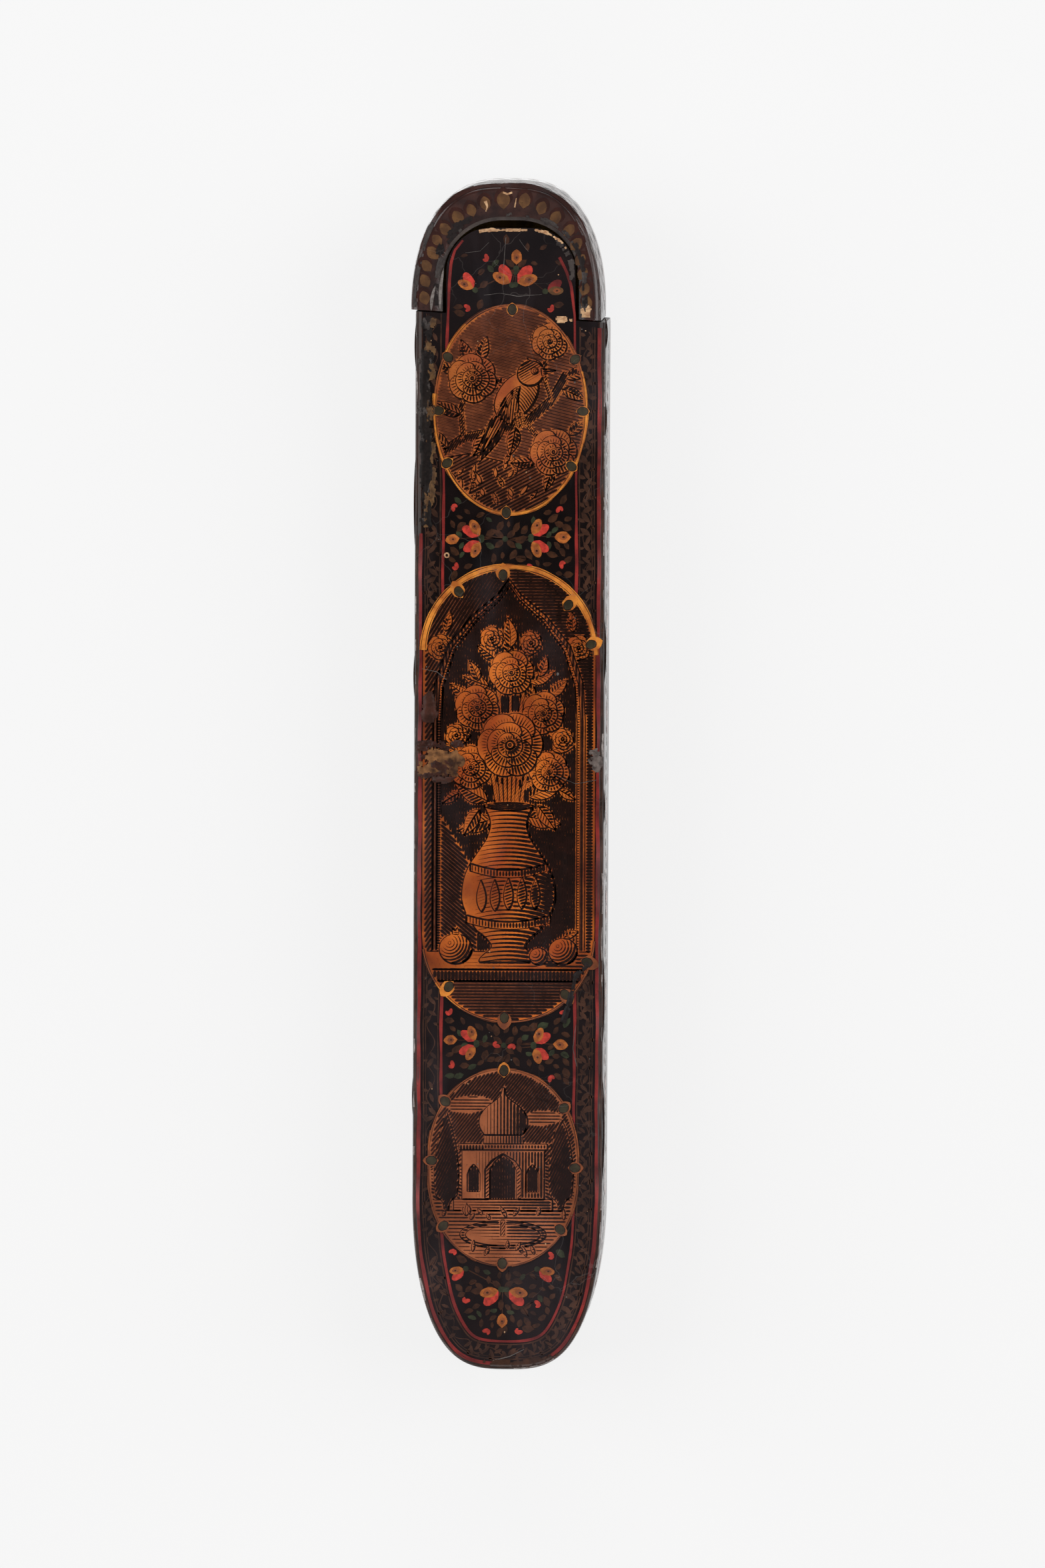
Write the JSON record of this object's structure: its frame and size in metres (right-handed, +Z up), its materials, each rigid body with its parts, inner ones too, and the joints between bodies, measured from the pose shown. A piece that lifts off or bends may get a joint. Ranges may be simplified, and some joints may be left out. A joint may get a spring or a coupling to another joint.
{
  "type": "pen box with sliding drawer",
  "caption": "Lacquered pasteboard pen box with rounded ends: a sleeve, and a capped drawer that slides out with a lidded brass inkwell, reed pens, penknife and nib rest.",
  "frame": {"origin": "bottom centre of the closed box's bounding box, on the face it rests on", "axes": "+Z up through the painted face with the box lying on its back, +Y along the box towards the drawer's cap, +X to the right as the painted face is seen"},
  "size_m": [0.0377, 0.23, 0.0331],
  "materials": {
    "lacquered_board": "gloss",
    "varnished_print": "gloss",
    "red_board": "satin",
    "lining_paper": "matte",
    "brass": "satin",
    "raw_silk": "matte",
    "reed": "satin",
    "bone": "satin",
    "steel": "satin"
  },
  "bodies": {
    "case": {"case_sleeve": "lacquered_board", "upper_print": "varnished_print", "central_print": "varnished_print", "lower_print": "varnished_print"},
    "drawer": {"drawer_trough": "red_board", "drawer_cap": "lacquered_board", "floor_paper": "lining_paper", "ink_partition": "red_board", "inkwell_tub": "brass", "inkwell_plate": "brass", "inkwell_hinge_pin": "brass", "ink_wadding": "raw_silk", "reed_pen_broad": "reed", "reed_pen_medium": "reed", "reed_pen_fine": "reed", "penknife_handle": "bone", "penknife_bolster": "brass", "penknife_blade": "steel", "nib_rest": "bone"},
    "inkwell_lid": {"inkwell_lid": "brass", "inkwell_lid_knob": "brass"}
  },
  "joints": [
    {"name": "drawer_slide", "type": "slide", "parent": "case", "child": "drawer", "axis": [0, 1, 0], "range_m": [0, 0.2]},
    {"name": "inkwell_lid_hinge", "type": "hinge", "parent": "drawer", "child": "inkwell_lid", "pos_m": [0, 0.0868, 0.0163], "axis": [1, 0, 0], "range_deg": [0, 100]}
  ]
}
